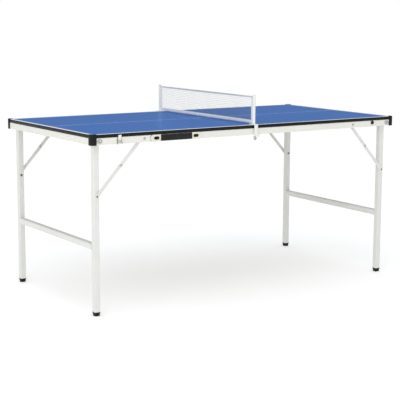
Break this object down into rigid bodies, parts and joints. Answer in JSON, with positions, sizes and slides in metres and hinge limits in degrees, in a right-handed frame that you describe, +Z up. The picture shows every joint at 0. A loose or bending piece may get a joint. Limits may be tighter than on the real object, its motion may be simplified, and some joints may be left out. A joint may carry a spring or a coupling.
{
  "type": "folding table tennis table",
  "caption": "Midi table tennis table in two hinged halves with a blue top, white rail frame, fold-away leg frames on jointed stays, a carry handle, a latch and a clamp-on net.",
  "frame": {"origin": "on the floor under the middle of the net, midway between the ends and the sides", "axes": "+X along the table's length, towards the half without the handle; -Y towards the side with the handle and latch; +Z up"},
  "size_m": [1.52, 0.772, 0.834],
  "materials": {
    "playing_surface": "matte painted board with white lines",
    "edge_band": "satin edge banding",
    "rail_paint": "satin warm white powder coat",
    "corner_cap": "moulded",
    "fasteners": "zinc plated",
    "leg_paint": "satin white powder coat",
    "foot_rubber": "moulded",
    "hasp_chrome": "polished spring steel",
    "strike_plastic": "moulded",
    "bracket_plastic": "moulded",
    "grip_plastic": "moulded, fine grain",
    "net_cloth": "knitted mesh and woven tape",
    "net_steel": "satin powder coat"
  },
  "bodies": {
    "right_half": {"right_board": "playing_surface", "right_edge_band": "edge_band", "right_front_rail": "rail_paint", "right_back_rail": "rail_paint", "right_end_rail": "rail_paint", "right_seam_rail": "rail_paint", "right_corner_caps": "corner_cap", "right_pivot_bolts": "fasteners", "right_rail_rivets": "fasteners", "right_hinge_leaves": "fasteners", "hinge_pins": "fasteners", "hinge_screws_right": "fasteners", "strike_knob": "strike_plastic", "net_mesh": "net_cloth", "net_top_tape": "net_cloth", "net_bottom_tape": "net_cloth", "net_side_hems": "net_cloth", "net_cord": "net_cloth", "net_posts": "net_steel", "net_clamps": "net_steel"},
    "left_half": {"left_board": "playing_surface", "left_edge_band": "edge_band", "left_front_rail": "rail_paint", "left_back_rail": "rail_paint", "left_end_rail": "rail_paint", "left_seam_rail": "rail_paint", "left_corner_caps": "corner_cap", "left_pivot_bolts": "fasteners", "left_rail_rivets": "fasteners", "left_hinge_leaves": "fasteners", "hinge_screws_left": "fasteners", "latch_plate": "fasteners", "handle_brackets": "bracket_plastic", "handle_screws": "fasteners"},
    "right_leg_frame": {"right_front_leg": "leg_paint", "right_back_leg": "leg_paint", "right_crossbar": "leg_paint", "right_feet": "foot_rubber"},
    "left_leg_frame": {"left_front_leg": "leg_paint", "left_back_leg": "leg_paint", "left_crossbar": "leg_paint", "left_feet": "foot_rubber"},
    "right_front_upper_stay": {"right_front_upper_stay": "leg_paint", "right_front_stay_rivet": "fasteners"},
    "right_front_lower_stay": {"right_front_lower_stay": "leg_paint"},
    "right_back_upper_stay": {"right_back_upper_stay": "leg_paint", "right_back_stay_rivet": "fasteners"},
    "right_back_lower_stay": {"right_back_lower_stay": "leg_paint"},
    "left_front_upper_stay": {"left_front_upper_stay": "leg_paint", "left_front_stay_rivet": "fasteners"},
    "left_front_lower_stay": {"left_front_lower_stay": "leg_paint"},
    "left_back_upper_stay": {"left_back_upper_stay": "leg_paint", "left_back_stay_rivet": "fasteners"},
    "left_back_lower_stay": {"left_back_lower_stay": "leg_paint"},
    "hasp": {"latch_hasp": "hasp_chrome"},
    "handle": {"handle_grip": "grip_plastic"},
    "front_pad": {"front_clamp_pad": "foot_rubber"},
    "front_screw": {"front_clamp_screw": "fasteners"},
    "back_pad": {"back_clamp_pad": "foot_rubber"},
    "back_screw": {"back_clamp_screw": "fasteners"}
  },
  "joints": [
    {"name": "centre_fold", "type": "hinge", "parent": "right_half", "child": "left_half", "pos_m": [0, 0, 0.6685], "axis": [0, -1, 0], "range_deg": [0, 90]},
    {"name": "right_leg_fold", "type": "hinge", "parent": "right_half", "child": "right_leg_frame", "pos_m": [0.723, 0, 0.6835], "axis": [0, 1, 0], "range_deg": [0, 90]},
    {"name": "right_front_upper_stay_turn", "type": "hinge", "parent": "right_half", "child": "right_front_upper_stay", "pos_m": [0.527, -0.3543, 0.6835], "axis": [0, -1, 0], "range_deg": [0, 47.5]},
    {"name": "right_front_lower_stay_turn", "type": "hinge", "parent": "right_front_upper_stay", "child": "right_front_lower_stay", "pos_m": [0.61924, -0.3517, 0.58325], "axis": [0, 1, 0], "range_deg": [0, 180]},
    {"name": "right_back_upper_stay_turn", "type": "hinge", "parent": "right_half", "child": "right_back_upper_stay", "pos_m": [0.527, 0.3543, 0.6835], "axis": [0, -1, 0], "range_deg": [0, 47.5]},
    {"name": "right_back_lower_stay_turn", "type": "hinge", "parent": "right_back_upper_stay", "child": "right_back_lower_stay", "pos_m": [0.61924, 0.3517, 0.58325], "axis": [0, 1, 0], "range_deg": [0, 180]},
    {"name": "left_leg_fold", "type": "hinge", "parent": "left_half", "child": "left_leg_frame", "pos_m": [-0.723, 0, 0.6835], "axis": [0, -1, 0], "range_deg": [0, 90]},
    {"name": "left_front_upper_stay_turn", "type": "hinge", "parent": "left_half", "child": "left_front_upper_stay", "pos_m": [-0.527, -0.3543, 0.6835], "axis": [0, 1, 0], "range_deg": [0, 47.5]},
    {"name": "left_front_lower_stay_turn", "type": "hinge", "parent": "left_front_upper_stay", "child": "left_front_lower_stay", "pos_m": [-0.61924, -0.3517, 0.58325], "axis": [0, -1, 0], "range_deg": [0, 180]},
    {"name": "left_back_upper_stay_turn", "type": "hinge", "parent": "left_half", "child": "left_back_upper_stay", "pos_m": [-0.527, 0.3543, 0.6835], "axis": [0, 1, 0], "range_deg": [0, 47.5]},
    {"name": "left_back_lower_stay_turn", "type": "hinge", "parent": "left_back_upper_stay", "child": "left_back_lower_stay", "pos_m": [-0.61924, 0.3517, 0.58325], "axis": [0, -1, 0], "range_deg": [0, 180]},
    {"name": "latch_swing", "type": "hinge", "parent": "left_half", "child": "hasp", "pos_m": [-0.638, -0.3809, 0.672], "axis": [1, 0, 0], "range_deg": [0, 180]},
    {"name": "handle_pull", "type": "slide", "parent": "left_half", "child": "handle", "axis": [0, -1, 0], "range_m": [0, 0.015]},
    {"name": "front_pad_slide", "type": "slide", "parent": "right_half", "child": "front_pad", "axis": [0, 0, -1], "range_m": [0, 0.002]},
    {"name": "front_screw_turn", "type": "hinge", "parent": "front_pad", "child": "front_screw", "pos_m": [0.009, -0.366, 0.667], "axis": [0, 0, -1], "range_deg": [0, 720]},
    {"name": "back_pad_slide", "type": "slide", "parent": "right_half", "child": "back_pad", "axis": [0, 0, -1], "range_m": [0, 0.002]},
    {"name": "back_screw_turn", "type": "hinge", "parent": "back_pad", "child": "back_screw", "pos_m": [0.009, 0.366, 0.667], "axis": [0, 0, -1], "range_deg": [0, 720]}
  ],
  "couplings": [
    {"joint": "right_front_upper_stay_turn", "follows": "right_leg_fold", "ratio": 0.52645},
    {"joint": "right_front_lower_stay_turn", "follows": "right_leg_fold", "ratio": 2},
    {"joint": "right_back_upper_stay_turn", "follows": "right_leg_fold", "ratio": 0.52645},
    {"joint": "right_back_lower_stay_turn", "follows": "right_leg_fold", "ratio": 2},
    {"joint": "left_front_upper_stay_turn", "follows": "left_leg_fold", "ratio": 0.52645},
    {"joint": "left_front_lower_stay_turn", "follows": "left_leg_fold", "ratio": 2},
    {"joint": "left_back_upper_stay_turn", "follows": "left_leg_fold", "ratio": 0.52645},
    {"joint": "left_back_lower_stay_turn", "follows": "left_leg_fold", "ratio": 2},
    {"joint": "front_pad_slide", "follows": "front_screw_turn", "m_per_rad": 0.00015915},
    {"joint": "back_pad_slide", "follows": "back_screw_turn", "m_per_rad": 0.00015915}
  ]
}
